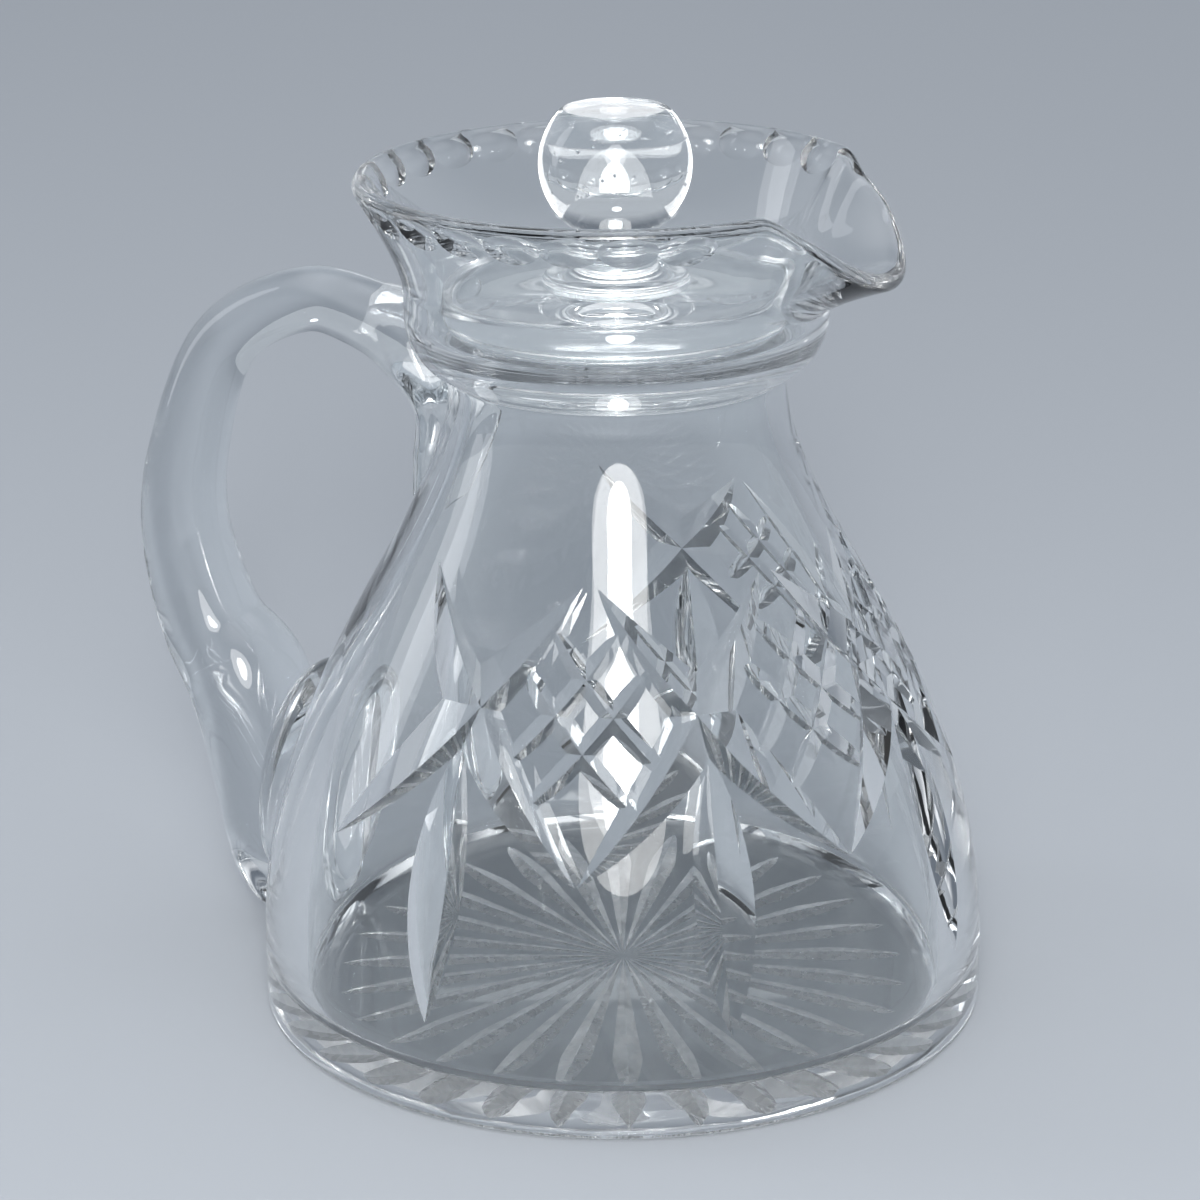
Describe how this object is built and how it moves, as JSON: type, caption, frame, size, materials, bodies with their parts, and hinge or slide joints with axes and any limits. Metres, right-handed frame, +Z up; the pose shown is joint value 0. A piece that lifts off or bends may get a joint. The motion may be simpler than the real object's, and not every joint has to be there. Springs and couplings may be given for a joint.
{
  "type": "cut glass jug",
  "caption": "Lidded cut glass pouring jug: star-cut base, mitre-cut body, funnel mouth with a turned-down lip, thick applied loop handle and a loose plate lid with a ball knob.",
  "frame": {"origin": "under the middle of the jug's box, on the plane it stands on; the vessel's own axis is 14.95 mm towards the lip from it", "axes": "+Z up along the vessel's axis, +X towards the pouring lip, the handle towards -X"},
  "size_m": [0.1499, 0.12, 0.1493],
  "materials": {
    "body_glass": "clear, cut and acid polished",
    "handle_glass": "clear, fire polished, with fine draw lines",
    "lid_glass": "clear, edge ground and polished",
    "knob_glass": "clear, fire polished, flat ground top"
  },
  "bodies": {
    "jug": {"jug_body": "body_glass", "handle": "handle_glass"},
    "lid": {"lid_plate": "lid_glass", "lid_knob": "knob_glass"}
  },
  "joints": [
    {"name": "lid_lift", "type": "slide", "parent": "jug", "child": "lid", "axis": [0, 0, 1], "range_m": [0, 0.08]}
  ]
}
